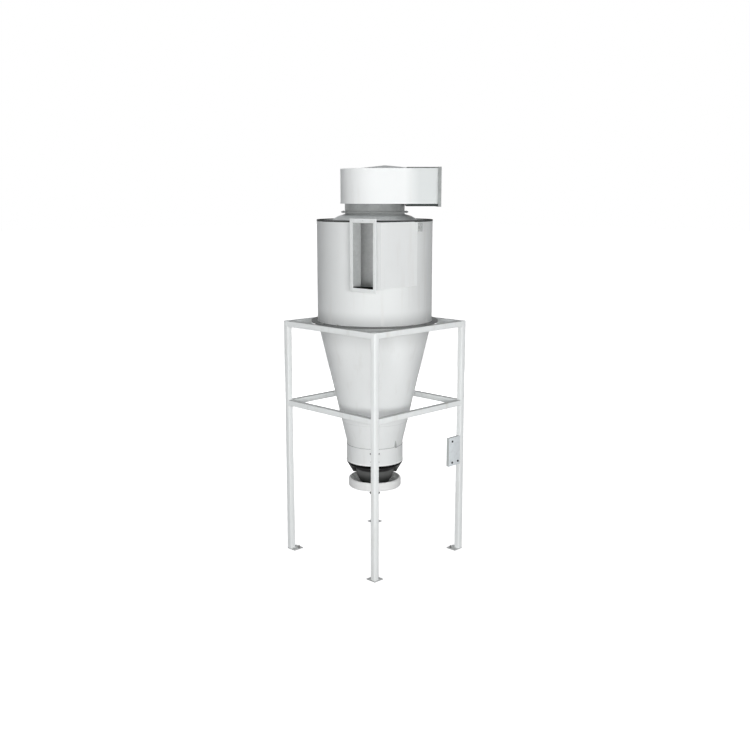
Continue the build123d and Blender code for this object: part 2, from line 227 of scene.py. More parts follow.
def streaked(name, bright, dark):
    """Spun sheet with dark patches and fine specks, partly streaks on the sheet and partly painted
    shade.
    """
    finish, tree, shader = start_finish(name, metallic=0.25, specular=0.3)
    patches = noise_share(tree, scale=22.0, low=0.42, high=0.60, detail=6.0)
    fine = noise_share(tree, scale=75.0, low=0.42, high=0.66, stretch=(1, 1, 2.5), detail=5.0)
    between = tuple((a + b) / 2 for a, b in zip(bright, dark))
    tone = blend_colours(tree, patches, bright, dark)
    tone = blend_colours(tree, fine, tone, between)
    tree.links.new(tone, shader.inputs["Base Color"])
    roughness_range(tree, shader, fine, low=0.4, high=0.7)
    raise_bump(tree, shader, fine, strength=0.25, distance=0.001)
    return finish


def rubber(name, colour, dusty, gloss, weave=0.0, light_and_shade_bands=()):
    """Black or grey rubber with dust on it, and a cloth ply that shows when weave is above 0.

    Pairs of heights in the last argument mark where the rubber goes over to another colour,
    painted light and shade.
    """
    finish, tree, shader = start_finish(name, specular=gloss)
    clouds = noise_share(tree, scale=18.0, low=0.4, high=0.8)
    tone = blend_colours(tree, clouds, colour, dusty)
    for start, end, other in light_and_shade_bands:
        tone = blend_colours(tree, share_by_height(tree, start, end), tone, other)
    tree.links.new(tone, shader.inputs["Base Color"])
    roughness_range(tree, shader, clouds, low=0.55, high=0.8)
    if weave:
        ply = cell_pattern(tree, scale=170.0)["Distance"]
        raise_bump(tree, shader, ply, strength=weave, distance=0.0012)
    else:
        grain = noise_share(tree, scale=300.0, low=0.3, high=0.7)
        raise_bump(tree, shader, grain, strength=0.15, distance=0.0006)
    return finish


def moulded(name, colour, worn, rough):
    """Moulded plastic: a spark-eroded grain and a little handling wear."""
    finish, tree, shader = start_finish(name, specular=0.4)
    wear = noise_share(tree, scale=30.0, low=0.5, high=0.85)
    tree.links.new(blend_colours(tree, wear, colour, worn), shader.inputs["Base Color"])
    roughness_range(tree, shader, wear, *rough)
    grain = noise_share(tree, scale=900.0, low=0.3, high=0.7, detail=2.0)
    raise_bump(tree, shader, grain, strength=0.12, distance=0.0004)
    return finish


# The shell darkens down to the support ring, and the cone under the top frame: painted shade.
SHELL_PAINT = painted("shell_paint", (0.77, 0.785, 0.78), (0.70, 0.70, 0.68),
                      painted_shade=(2.12, 2.25, 0.70))
# A lighter copy of the body's white paint, painted light for the downward-facing cone and the
# collar.
CONE_PAINT = painted("cone_paint", (0.85, 0.865, 0.86), (0.74, 0.74, 0.72),
                     painted_shade=(2.08, 1.88, 0.80))
# A lighter copy of the body's white paint, painted light for the duct walls that face away from the
# key lamp.
DUCT_PAINT = painted("duct_paint", (0.87, 0.885, 0.88), (0.78, 0.78, 0.76))
# A lighter copy of the body's white: a painted highlight on the curved scroll wall, with painted
# shade along its flat outlet panel.
SCROLL_PAINT = painted("scroll_paint", (0.91, 0.925, 0.92), (0.80, 0.80, 0.78),
                       shaded_far_colour=(0.72, 0.745, 0.74))
STAND_PAINT = painted("stand_paint", (0.89, 0.91, 0.905), (0.74, 0.74, 0.71))
# Painted shade: a darker copy of the stand's paint for the rails' upward faces, which the light
# hardly reaches.
RAIL_TOP_SHADE = painted("rail_top_shade", (0.54, 0.55, 0.545), (0.42, 0.42, 0.405))
# A darker copy of the stand's paint for the base plates: painted shade on their upward faces.
FOOT_PAINT = painted("foot_paint", (0.50, 0.51, 0.505), (0.36, 0.36, 0.345))
LID_PAINT = painted("lid_paint", (0.90, 0.90, 0.89), (0.70, 0.69, 0.66))
# A lighter copy of the white paint for the bead under the collar: a painted highlight.
BEAD_PAINT = painted("bead_paint", (0.93, 0.94, 0.93), (0.85, 0.85, 0.83))
FLANGE_PAINT = painted("flange_paint", (0.88, 0.90, 0.895), (0.74, 0.74, 0.72))
LUG_PAINT = painted("lug_paint", (0.42, 0.43, 0.425), (0.36, 0.36, 0.355))
WELD_PAINT = painted("weld_paint", (0.70, 0.715, 0.71), (0.50, 0.50, 0.48))
SEALANT = painted("sealant", (0.38, 0.39, 0.39), (0.30, 0.30, 0.29))

# Sheets: their two greys, how metallic they are and their range of roughness
DULL = (0.6, 0.75)
DUSTY = (0.6, 0.8)
# Dark grey, partly the ring's own steel and partly painted shade round the bottom of the body.
RING_STEEL = zinc_sheet("ring_steel", (0.20, 0.206, 0.203), (0.14, 0.145, 0.142), 0.1, DULL)
RIM_STEEL = zinc_sheet("rim_steel", (0.38, 0.40, 0.395), (0.30, 0.31, 0.305))
NECK_STEEL = zinc_sheet("neck_steel", (0.40, 0.415, 0.41), (0.28, 0.29, 0.288))
DOME_STEEL = zinc_sheet("dome_steel", (0.84, 0.86, 0.855), (0.70, 0.72, 0.715), 0.1)
DUCT_STEEL = zinc_sheet("duct_steel", (0.60, 0.62, 0.615), (0.48, 0.495, 0.49), 0.1, DULL)
# Painted light: the hanging pipe's and the shell's insides take zinc lightened far past its own
# grey, for light that hardly gets into the body.
PIPE_STEEL = zinc_sheet("pipe_steel", (0.80, 0.82, 0.815), (0.68, 0.695, 0.69), 0.0, DULL)
INSIDE_STEEL = zinc_sheet("inside_steel", (0.84, 0.86, 0.855), (0.70, 0.715, 0.71), 0.0, DULL)
# Near-black for the strip under the outlet duct: painted shade.
TRAY_STEEL = zinc_sheet("tray_steel", (0.05, 0.058, 0.056), (0.03, 0.034, 0.033), 0.0, DUSTY)
# Dark grey for the lips along the duct's top edges: painted shade.
LIP_STEEL = zinc_sheet("lip_steel", (0.13, 0.138, 0.136), (0.09, 0.095, 0.094), 0.0, DUSTY)
BOLT_ZINC = zinc_sheet("bolt_zinc", (0.34, 0.34, 0.33), (0.20, 0.20, 0.19), 0.8, (0.3, 0.45))
BOLT_BLACK = zinc_sheet("bolt_black", (0.10, 0.10, 0.10), (0.15, 0.15, 0.148), 0.3)
# The lid's dished top: dark grey streaks, partly painted shade under the boot.
DISH_STEEL = streaked("dish_steel", (0.50, 0.51, 0.50), (0.10, 0.104, 0.10))

# A rubber trim whose black stands for the shade along the roof's edge: painted shade.
TRIM_RUBBER = rubber("trim_rubber", (0.045, 0.048, 0.047), (0.08, 0.08, 0.078), gloss=0.1)
SEAL_RUBBER = rubber("seal_rubber", (0.004, 0.004, 0.004), (0.008, 0.008, 0.008), gloss=0.03)
BOOT_RUBBER = rubber("boot_rubber", (0.020, 0.021, 0.020), (0.20, 0.20, 0.196), gloss=0.1,
                     weave=0.6)
# The sleeve goes near-black at its top, painted shade under the boot, over a lighter band just
# below, painted light.
SLEEVE_RUBBER = rubber("sleeve_rubber", (0.036, 0.038, 0.037), (0.06, 0.06, 0.058), gloss=0.2,
                       weave=0.35, light_and_shade_bands=((0.690, 0.760, (0.115, 0.117, 0.115)),
                                            (0.766, 0.780, (0.010, 0.010, 0.010))))
CASE_PLASTIC = moulded("case_plastic", (0.50, 0.52, 0.52), (0.46, 0.47, 0.47), (0.5, 0.6))
BOX_PLASTIC = moulded("box_plastic", (0.74, 0.78, 0.80), (0.62, 0.65, 0.66), (0.4, 0.5))
KNOB_PLASTIC = moulded("knob_plastic", (0.006, 0.006, 0.007), (0.015, 0.015, 0.015), (0.6, 0.75))

# ---- Modelling helpers ----


def deselect():
    if bpy.context.mode != "OBJECT":
        bpy.ops.object.mode_set(mode="OBJECT")
    bpy.ops.object.select_all(action="DESELECT")


def select_only(*pieces):
    deselect()
    for piece in pieces:
        piece.select_set(True)
    bpy.context.view_layer.objects.active = pieces[0]


def apply_place(piece):
    select_only(piece)
    bpy.ops.object.transform_apply(location=True, rotation=True, scale=True)


def turn_round(piece, degrees):
    """Turns a piece round the axis of the part."""
    piece.rotation_euler = (0, 0, radians(degrees))
    apply_place(piece)


def apply_modifier(piece, kind, **settings):
    select_only(piece)
    modifier = piece.modifiers.new(kind.lower(), kind)
    for key, value in settings.items():
        setattr(modifier, key, value)
    bpy.ops.object.modifier_apply(modifier=modifier.name)


def cut_away(piece, cutter):
    apply_modifier(piece, "BOOLEAN", operation="DIFFERENCE", solver="EXACT", object=cutter)
    bpy.data.objects.remove(cutter, do_unlink=True)


def round_edges(piece, width, angle, segments=2):
    """Bevels the edges that are sharper than an angle in degrees."""
    apply_modifier(piece, "BEVEL", width=width, segments=segments,
                   limit_method="ANGLE", angle_limit=radians(angle))


def tidy_mesh(piece, smooth=30):
    """Merges points, turns the normals out and shades edges smooth up to an angle in degrees."""
    select_only(piece)
    bpy.ops.object.mode_set(mode="EDIT")
    bpy.ops.mesh.select_all(action="SELECT")
    bpy.ops.mesh.remove_doubles(threshold=MERGE)
    bpy.ops.mesh.normals_make_consistent(inside=False)
    bpy.ops.object.mode_set(mode="OBJECT")
    bpy.ops.object.shade_smooth_by_angle(angle=radians(smooth))


def finish_piece(piece, name, finish, slot, *replaced):
    """Names a piece and puts it on the body; finishes that it has already stay."""
    select_only(piece)
    piece.name = name
    piece.data.name = name
    if not piece.data.materials:
        piece.data.materials.append(finish)
    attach(piece, BODY)
    if replaced:
        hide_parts(*replaced)


def line_inside(piece, outer, inner, wanted):
    """Gives the faces that pass the test the inner finish and the others the outer one."""
    piece.data.materials.clear()
    piece.data.materials.append(outer)
    piece.data.materials.append(inner)
    for face in piece.data.polygons:
        face.material_index = 1 if wanted(face.center, face.normal) else 0


def join_pieces(pieces, smooth=None):
    """Makes one piece of several; smooth is an angle in degrees, as in tidy_mesh."""
    select_only(*pieces)
    bpy.ops.object.join()
    if smooth:
        bpy.ops.object.shade_smooth_by_angle(angle=radians(smooth))
    return bpy.context.object


def push_out(step):
    bpy.ops.mesh.extrude_region_move(TRANSFORM_OT_translate={"value": step})


def draw_line(points):
    """Draws a chain of edges, one point after the other, and leaves it picked in edit mode."""
    deselect()
    here = Vector(points[0])
    bpy.ops.mesh.primitive_plane_add(size=0.01, location=here)
    line = bpy.context.object
    apply_place(line)
    bpy.ops.object.mode_set(mode="EDIT")
    bpy.ops.mesh.select_mode(type="VERT")
    bpy.ops.mesh.select_all(action="SELECT")
    bpy.ops.mesh.merge(type="CENTER")
    for point in points[1:]:
        push_out(Vector(point) - here)
        here = Vector(point)
    bpy.ops.mesh.select_all(action="SELECT")
    bpy.ops.mesh.remove_doubles(threshold=MERGE)
    return line


def plate(outline, step):
    """Fills a closed outline with a face and pushes it out."""
    piece = draw_line(outline + outline[:1])
    bpy.ops.mesh.edge_face_add()
    push_out(step)
    bpy.ops.object.mode_set(mode="OBJECT")
    tidy_mesh(piece)
    return piece


def turned(outline, steps=ROUND):
    """Spins a closed section, drawn as radius and height, round the axis."""
    points = [(r, 0, z) for r, z in outline]
    piece = draw_line(points + points[:1])
    bpy.ops.mesh.spin(steps=steps, angle=radians(360), center=(0, 0, 0), axis=(0, 0, 1),
                      use_auto_merge=True)
    tidy_mesh(piece, smooth=35)
    return piece


def flat_ring(inner, outer, low, high, chamfer):
    """A flat ring round the axis with a chamfer on its two outer edges."""
    return turned([
        (inner, low), (outer - chamfer, low), (outer, low + chamfer),
        (outer, high - chamfer), (outer - chamfer, high), (inner, high),
    ])


def block(low, high, edge=0.0, segments=2):
    """A bar or plate between two corners, its edges rounded by a bevel."""
    low, high = Vector(low), Vector(high)
    deselect()
    bpy.ops.mesh.primitive_cube_add(size=1, location=(low + high) / 2, scale=high - low)
    piece = bpy.context.object
    apply_place(piece)
    if edge:
        apply_modifier(piece, "BEVEL", width=edge, segments=segments, limit_method="NONE")
    return piece


def rod(start, end, radius, sides=24, edge=0.0):
    """A round or many-sided bar from one point to another."""
    start, end = Vector(start), Vector(end)
    way = end - start
    deselect()
    bpy.ops.mesh.primitive_cylinder_add(
        vertices=sides, radius=radius, depth=way.length, location=(start + end) / 2,
        rotation=way.to_track_quat("Z", "Y").to_euler(),
    )
    piece = bpy.context.object
    apply_place(piece)
    if edge:
        round_edges(piece, edge, angle=50)
    return piece


def weld_frame(corners, radius, sides):
    """Weld runs from each corner of a frame to the next one."""
    ends = corners[1:] + corners[:1]
    return [rod(start, end, radius, sides) for start, end in zip(corners, ends)]


def bead_ring(name, radius, z, thick, finish, slot):
    """A weld bead that runs round the axis, half sunk into the joint."""
    deselect()
    bpy.ops.mesh.primitive_torus_add(
        major_segments=ROUND, minor_segments=10, major_radius=radius, minor_radius=thick,
        location=(0, 0, z),
    )
    piece = bpy.context.object
    apply_place(piece)
    bpy.ops.object.shade_smooth()
    finish_piece(piece, name, finish, slot)


# Measures of a bolt as shares of its size
WASHER_THICK, WASHER_R = 0.18, 1.05
HEAD_TALL, HEAD_R = 0.62, 0.9


def hex_bolt(place, way, size):
    """A hexagon head on a washer, sitting on a face; way points out of the face."""
    place, way = Vector(place), Vector(way).normalized()
    lift = WASHER_THICK * size
    seat, top = place + way * lift, place + way * (lift + HEAD_TALL * size)
    washer = rod(place, seat, WASHER_R * size, edge=0.0004)
    return join_pieces([washer, rod(seat, top, HEAD_R * size, sides=6, edge=0.0007)])


def bolts(name, places, way, size):
    """Models one bolt and sets a copy of it at every place."""
    first = hex_bolt(places[0], way, size)
    made = [first]
    for place in places[1:]:
        select_only(first)
        shift = Vector(place) - Vector(places[0])
        bpy.ops.object.duplicate_move(TRANSFORM_OT_translate={"value": shift})
        made.append(bpy.context.object)
        apply_place(made[-1])
    finish_piece(join_pieces(made, smooth=30), name, BOLT_ZINC, "bare_steel")


# ---- Stand ----

CORNERS = {"front": (1, -1), "right": (1, 1), "back": (-1, 1), "left": (-1, -1)}
TUBE_EDGE = 0.0060
PLATE_EDGE = 0.0008

FOOT_THICK = 0.008
FOOT_SIDE = 0.100
FOOT_WELD_R = 0.003
FOOT_WELD_END = HALF - 0.004

ANCHOR_INSET = 0.075
ANCHOR_HOLE_R = 0.007
ANCHOR_NUT = 0.0115
STUD_R = 0.0055
STUD_TOP = 0.030

# Heights and sizes of the bolts on the front leg
FIXINGS = ((1.102, 0.0125), (1.033, 0.009), (0.770, 0.0145))
FIXING_INSET = 0.0156


def long_edges(piece, axis):
    """Rounds the four long edges of a square tube that runs along the axis."""
    select_only(piece)
    mesh = piece.data
    for group in (mesh.vertices, mesh.edges, mesh.polygons):
        for item in group:
            item.select = False
    for edge in mesh.edges:
        way = mesh.vertices[edge.vertices[0]].co - mesh.vertices[edge.vertices[1]].co
        edge.select = all(abs(way[i]) < MERGE for i in range(3) if i != axis)
    bpy.ops.object.mode_set(mode="EDIT")
    bpy.ops.mesh.select_mode(type="EDGE")
    bpy.ops.mesh.bevel(offset=TUBE_EDGE, segments=4, affect="EDGES")
    bpy.ops.object.mode_set(mode="OBJECT")
    bpy.ops.object.shade_smooth_by_angle(angle=radians(35))


def corner_block(sx, sy, inner, low, high, edge=0.0):
    """A block at a corner of the stand, from an inner distance out to its faces."""
    x0, x1 = sorted((sx * inner, sx * HALF))
    y0, y1 = sorted((sy * inner, sy * HALF))
    return block((x0, y0, low), (x1, y1, high), edge)


def leg(where, sx, sy):
    piece = corner_block(sx, sy, INNER_HALF, FOOT_THICK, STAND_TOP)
    long_edges(piece, 2)
    finish_piece(piece, "tube_leg_" + where, STAND_PAINT, "stand_paint", "leg_" + where)


def foot(where, sx, sy):
    """The base plate, with an anchor's stud and nut in its hole."""
    piece = corner_block(sx, sy, HALF - FOOT_SIDE, 0, FOOT_THICK, PLATE_EDGE)
    x, y = sx * (HALF - ANCHOR_INSET), sy * (HALF - ANCHOR_INSET)
    cut_away(piece, rod((x, y, -0.01), (x, y, 0.02), ANCHOR_HOLE_R, 32))
    tidy_mesh(piece)
    finish_piece(piece, "base_plate_" + where, FOOT_PAINT, "stand_paint", "foot_plate_" + where)
    stud = rod((x, y, 0.001), (x, y, STUD_TOP), STUD_R, 20, 0.001)
    nut = hex_bolt((x, y, FOOT_THICK), (0, 0, 1), ANCHOR_NUT)
    anchor = join_pieces([nut, stud], smooth=30)
    finish_piece(anchor, "anchor_" + where, BOLT_ZINC, "bare_steel")


def foot_weld(where, sx, sy):
    """Fillet weld on the two inner sides of the leg; the outer sides are flush with the plate."""
    z = FOOT_THICK + 0.001
    corner = (sx * INNER_HALF, sy * INNER_HALF, z)
    starts = ((corner[0], sy * FOOT_WELD_END, z), (sx * FOOT_WELD_END, corner[1], z))
    piece = join_pieces([rod(start, corner, FOOT_WELD_R, 10) for start in starts], smooth=60)
    finish_piece(piece, "foot_weld_" + where, WELD_PAINT, "stand_paint")


def leg_fixings():
    """Three pairs of bolts with long ends, near the outer edges of the leg's inner faces."""
    made = []
    for z, size in FIXINGS:
        for place, way in (
            ((INNER_HALF, -HALF + FIXING_INSET, z), Vector((-1, 0, 0))),
            ((HALF - FIXING_INSET, -INNER_HALF, z), Vector((0, 1, 0))),
        ):
            made.append(hex_bolt(place, way, size))
            made.append(rod(place, Vector(place) + way * 1.5 * size, 0.45 * size, 16, 0.0005))
    finish_piece(join_pieces(made, smooth=30), "front_leg_fixings", BOLT_BLACK, "bare_steel")


for where, (sx, sy) in CORNERS.items():
    leg(where, sx, sy)
    foot(where, sx, sy)
    foot_weld(where, sx, sy)
leg_fixings()

# The axis along each rail's width, and the side of the origin that the rail is on
SIDES = {
    "front_right": (0, 1), "back_right": (1, 1), "back_left": (0, -1), "front_left": (1, -1),
}
MIDDLE_RAIL_TOP = 1.400

# The welds round a rail's end: radius, distance from the tube's inner and lower faces, frame
RAIL_WELD_R = 0.0022
RAIL_WELD_INSET = 0.001
RAIL_WELD_WIDE, RAIL_WELD_TALL = TUBE - 0.0042, TUBE - 0.0032
RAIL_WELD_END = INNER_HALF - 0.0005


def rail(level, top, where, across, sign):
    """One tube between two legs, with the welds at its two ends."""
    along = 1 - across
    low, high = [0, 0, top - TUBE], [0, 0, top]
    low[across], high[across] = sorted((sign * INNER_HALF, sign * HALF))
    low[along], high[along] = -INNER_HALF, INNER_HALF
    piece = block(low, high)
    long_edges(piece, along)
    # The rails' upward faces take the darker copy of the paint: painted shade.
    line_inside(piece, STAND_PAINT, RAIL_TOP_SHADE, lambda centre, normal: normal.z > 0.8)
    finish_piece(piece, f"tube_{level}_{where}", STAND_PAINT, "stand_paint",
                 f"{level}_rail_{where}")
    runs = []
    for end in (-1, 1):
        corners = []
        for a, b in ((0, 0), (1, 0), (1, 1), (0, 1)):
            spot = [0, 0, top - TUBE + RAIL_WELD_INSET + b * RAIL_WELD_TALL]
            spot[along] = end * RAIL_WELD_END
            spot[across] = sign * (INNER_HALF + RAIL_WELD_INSET + a * RAIL_WELD_WIDE)
            corners.append(spot)
        runs += weld_frame(corners, RAIL_WELD_R, 8)
    welds = join_pieces(runs, smooth=60)
    finish_piece(welds, f"weld_{level}_{where}", WELD_PAINT, "stand_paint")


for level, top in (("top", STAND_TOP), ("middle", MIDDLE_RAIL_TOP)):
    for where, (across, sign) in SIDES.items():
        rail(level, top, where, across, sign)

# ---- Body, roof and cone ----

RING_R = 0.555
RING_THICK = 0.012
RING_BOLT_R = 0.534
RING_BOLT_SIDE = 0.09     # from the middle of a side to either bolt
CONE_END_R = 0.249
CONE_END_Z = 1.020
SKIRT_Z = 0.985

# The pipe is in two lengths that meet at a pair of flanges.
PIPE_LOW, PIPE_JOINT = 2.400, 3.055
PIPE_FLANGE_R = PIPE_R + 0.031
PIPE_FLANGE_THICK = 0.006
NECK_BOLTS = 16
NECK_BOLT_R = 0.277
NECK_BOLT_SIZE = 0.0045


def body():
    """The shell, opened behind the inlet's mouth."""
    inner = BODY_R - SHEET
    piece = turned([(BODY_R, STAND_TOP), (BODY_R, ROOF_Z), (inner, ROOF_Z), (inner, STAND_TOP)])
    past = BODY_R + 0.02
    cut_away(piece, block((DUCT_IN, -past, DUCT_FLOOR), (past, 0, DUCT_CEILING)))
    tidy_mesh(piece)
    # The inside faces take the lightened zinc: painted light.
    line_inside(piece, SHELL_PAINT, INSIDE_STEEL,
                lambda centre, normal: hypot(centre.x, centre.y) < BODY_R - 0.002)
    finish_piece(piece, "shell", SHELL_PAINT, "body_paint", "body_shell")


def support_ring():
    """The flat ring that carries the body, with two bolts into each side of the stand."""
    high = STAND_TOP + RING_THICK
    piece = flat_ring(BODY_R, RING_R, STAND_TOP, high, chamfer=0.0012)
    finish_piece(piece, "bearing_ring", RING_STEEL, "bare_steel", "support_ring")
    spots = []
    for sx, sy in ((1, 0), (0, 1), (-1, 0), (0, -1)):
        for side in (-RING_BOLT_SIDE, RING_BOLT_SIDE):
            spots.append((sx * RING_BOLT_R + sy * side, sy * RING_BOLT_R + sx * side, high))
    bolts("ring_bolts", spots, (0, 0, 1), 0.010)


def roof():
    """The roof sheet and the rubber trim over its edge, whose black is painted shade along the
    roof's rim.
    """
    edge = 0.0012
    low, high = ROOF_Z, ROOF_Z + SHEET
    piece = turned([
        (PIPE_R, low), (BODY_R, low), (BODY_R, high - edge), (BODY_R - edge, high), (PIPE_R, high),
    ])
    finish_piece(piece, "roof_sheet", NECK_STEEL, "bare_steel", "body_roof")
    trim = turned([
        (BODY_R, low - 0.0022), (BODY_R + 0.001, low - 0.0025), (BODY_R + 0.001, low + 0.011),
        (BODY_R - 0.0005, low + 0.012), (BODY_R - 0.004, low + 0.012),
        (BODY_R - 0.004, high - 0.0001), (BODY_R, high - 0.0001),
    ])
    finish_piece(trim, "roof_edge_trim", TRIM_RUBBER, "seal_rubber")


def cone():
    """The main cone, with the short skirt that the collar closes over."""
    piece = turned([
        (BODY_R, STAND_TOP), (CONE_END_R, CONE_END_Z), (CONE_END_R, SKIRT_Z),
        (CONE_END_R - SHEET, SKIRT_Z), (CONE_END_R - SHEET, CONE_END_Z),
        (BODY_R - SHEET, STAND_TOP),
    ])
    finish_piece(piece, "cone", CONE_PAINT, "body_paint", "main_cone")


def dome():
    """The pressed dome: its outside from the rim up to the pipe, then its inside."""
    outer = [
        (0.365, 2.983), (0.3605, 2.9915), (0.353, 2.9985), (0.346, 3.003), (0.331, 3.0112),
        (0.316, 3.019), (0.290, 3.0275), (PIPE_R, 3.036),
    ]
    inner = [(PIPE_R, 3.033), (0.290, 3.0245), (0.3145, 3.016), (0.343, 3.000), (0.359, 2.983)]
    piece = turned(outer + inner)
    finish_piece(piece, "pressed_dome", DOME_STEEL, "bare_steel", "roof_dome")


def ring_places(radius, z, count):
    """Places spread round the axis, the first of them half a pitch round from +X."""
    turns = [radians(360 * (i + 0.5) / count) for i in range(count)]
    return [(radius * cos(turn), radius * sin(turn), z) for turn in turns]


def pipes():
    """Both lengths of pipe, a lightened zinc where they hang in the body, and their bolted flanges.
    """
    inner = PIPE_R - SHEET
    for name, low, high, finish, node in (
        ("hanging_pipe", PIPE_LOW, PIPE_JOINT, PIPE_STEEL, "outlet_pipe"),
        ("neck_pipe", PIPE_JOINT, SCROLL_LOW, NECK_STEEL, "scroll_neck"),
    ):
        cover = max(low, ROOF_Z)
        piece = turned([
            (PIPE_R, low), (PIPE_R, cover), (PIPE_R, high), (inner, high), (inner, low),
        ])
        # Below the roof the pipe takes the lightened zinc: painted light.
        line_inside(piece, NECK_STEEL, finish, lambda centre, normal: centre.z < ROOF_Z)
        finish_piece(piece, name, finish, "bare_steel", node)
    lowest, highest = PIPE_JOINT - PIPE_FLANGE_THICK, PIPE_JOINT + PIPE_FLANGE_THICK
    for name, low, high, node in (
        ("lower_ring", lowest, PIPE_JOINT, "pipe_flange"),
        ("upper_ring", PIPE_JOINT, highest, "neck_flange"),
    ):
        piece = flat_ring(PIPE_R, PIPE_FLANGE_R, low, high, chamfer=0.001)
        finish_piece(piece, name, NECK_STEEL, "bare_steel", node)
    for name, z, way in (("neck_bolts", highest, (0, 0, 1)), ("neck_nuts", lowest, (0, 0, -1))):
        bolts(name, ring_places(NECK_BOLT_R, z, NECK_BOLTS), way, NECK_BOLT_SIZE)


body()
support_ring()
roof()
cone()
dome()
pipes()

# Beads round the axis: name, radius, height, half their thickness, finish and slot
for bead in (
    ("ring_weld", BODY_R + 0.001, STAND_TOP + RING_THICK, 0.003, WELD_PAINT, "body_paint"),
    ("dome_weld", 0.3655, 2.9835, 0.002, SEALANT, "bare_steel"),
    ("cone_seam", 0.2957, 1.220, 0.0012, WELD_PAINT, "body_paint"),
    ("collar_seam", 0.2508, 1.0062, 0.0020, SEALANT, "body_paint"),
    ("kink_weld", CONE_END_R + 0.0004, CONE_END_Z, 0.0016, CONE_PAINT, "body_paint"),
):
    bead_ring(*bead)

# ---- Inlet duct ----

FLANGE_THICK = 0.005
FLANGE_WIDE = 0.030
HOLE_R = 0.0045
CUT_FRONT, CUT_BACK = -0.53, -0.50    # ends of the cutters, past the flange's faces
PLATE_END = -0.035                    # where the outer wall leaves the shell
INNER_WALL_END = -0.30
WALL_SEAM_Y = MOUTH_Y + 0.070
INLET_MID_X = (DUCT_IN + DUCT_OUT) / 2
INLET_MID_Z = (DUCT_FLOOR + DUCT_CEILING) / 2
INLET_HALF_X = (DUCT_OUT - DUCT_IN) / 2
INLET_HALF_Z = (DUCT_CEILING - DUCT_FLOOR) / 2


def faces_duct(centre, normal):
    """Whether a face looks in towards the middle of the inlet duct."""
    inward = Vector((INLET_MID_X - centre.x, 0, INLET_MID_Z - centre.z))
    return abs(normal.y) < 0.5 and normal.dot(inward) > 0.01


def inlet_duct():
    """The four plates, each ended where the shell begins, bare zinc on their inner faces."""
    low_x, high_x = DUCT_IN - SHEET, DUCT_OUT + SHEET
    plates = {
        "outer_wall": ((DUCT_OUT, MOUTH_Y, DUCT_FLOOR), (high_x, 0, DUCT_CEILING)),
        "inner_wall": ((low_x, MOUTH_Y, DUCT_FLOOR), (DUCT_IN, INNER_WALL_END, DUCT_CEILING)),
        "bottom_plate": ((low_x, MOUTH_Y, DUCT_FLOOR - SHEET), (high_x, PLATE_END, DUCT_FLOOR)),
        "top_plate": ((low_x, MOUTH_Y, DUCT_CEILING), (high_x, PLATE_END, DUCT_CEILING + SHEET)),
    }
    for name, (low, high) in plates.items():
        piece = block(low, high)
        if name != "outer_wall":
            inside_shell = rod((0, 0, 2.40), (0, 0, 3.05), BODY_R, ROUND)
            cut_away(piece, inside_shell)
        tidy_mesh(piece)
        line_inside(piece, DUCT_PAINT, DUCT_STEEL, faces_duct)
        finish_piece(piece, "duct_" + name, DUCT_PAINT, "body_paint", "inlet_" + name)
    seam = block((high_x - 0.0004, WALL_SEAM_Y, DUCT_FLOOR),
                 (high_x + 0.0008, WALL_SEAM_Y + 0.003, DUCT_CEILING))
    finish_piece(seam, "duct_wall_seam", WELD_PAINT, "body_paint")


def hole_grid():
    """The flange's holes: five down each side and one in the middle of each end."""
    reach_x = INLET_HALF_X + SHEET + FLANGE_WIDE / 2
    reach_z = INLET_HALF_Z + SHEET + FLANGE_WIDE / 2
    spots = [(side * reach_x, reach_z * i / 2) for i in (-2, -1, 0, 1, 2) for side in (-1, 1)]
    spots += [(0, -reach_z), (0, reach_z)]
    return [(INLET_MID_X + x, INLET_MID_Z + z) for x, z in spots]


def inlet_flange():
    """The drilled flange and the weld behind it, round the duct's four plates."""
    wide = INLET_HALF_X + SHEET + FLANGE_WIDE
    tall = INLET_HALF_Z + SHEET + FLANGE_WIDE
    piece = block((INLET_MID_X - wide, MOUTH_Y - FLANGE_THICK, INLET_MID_Z - tall),
                  (INLET_MID_X + wide, MOUTH_Y, INLET_MID_Z + tall), PLATE_EDGE)
    cut_away(piece, block((DUCT_IN, CUT_FRONT, DUCT_FLOOR), (DUCT_OUT, CUT_BACK, DUCT_CEILING)))
    drills = [rod((x, CUT_FRONT, z), (x, CUT_BACK, z), HOLE_R, 16) for x, z in hole_grid()]
    cut_away(piece, join_pieces(drills))
    tidy_mesh(piece)
    finish_piece(piece, "mouth_flange", FLANGE_PAINT, "body_paint", "inlet_flange")
    y = MOUTH_Y + 0.0015
    low_x, high_x = DUCT_IN - SHEET, DUCT_OUT + SHEET
    low_z, high_z = DUCT_FLOOR - SHEET, DUCT_CEILING + SHEET
    corners = [(low_x, y, low_z), (high_x, y, low_z), (high_x, y, high_z), (low_x, y, high_z)]
    weld = join_pieces(weld_frame(corners, 0.002, 10), smooth=60)
    finish_piece(weld, "flange_weld", WELD_PAINT, "body_paint")


def mouth_strip():
    """Black strip across the floor of the mouth, lower at the inner wall: a painted shadow."""
    front, back = MOUTH_Y + 0.001, MOUTH_Y + 0.004
    outline = ((DUCT_IN, 0), (DUCT_OUT, 0), (DUCT_OUT, 0.021), (DUCT_IN, 0.007))
    piece = plate([(x, front, DUCT_FLOOR + lift) for x, lift in outline], (0, back - front, 0))
    # Painted shadow across the mouth's floor.
    finish_piece(piece, "mouth_strip", SEAL_RUBBER, "seal_rubber")


inlet_duct()
inlet_flange()
mouth_strip()

# ---- Outlet scroll ----

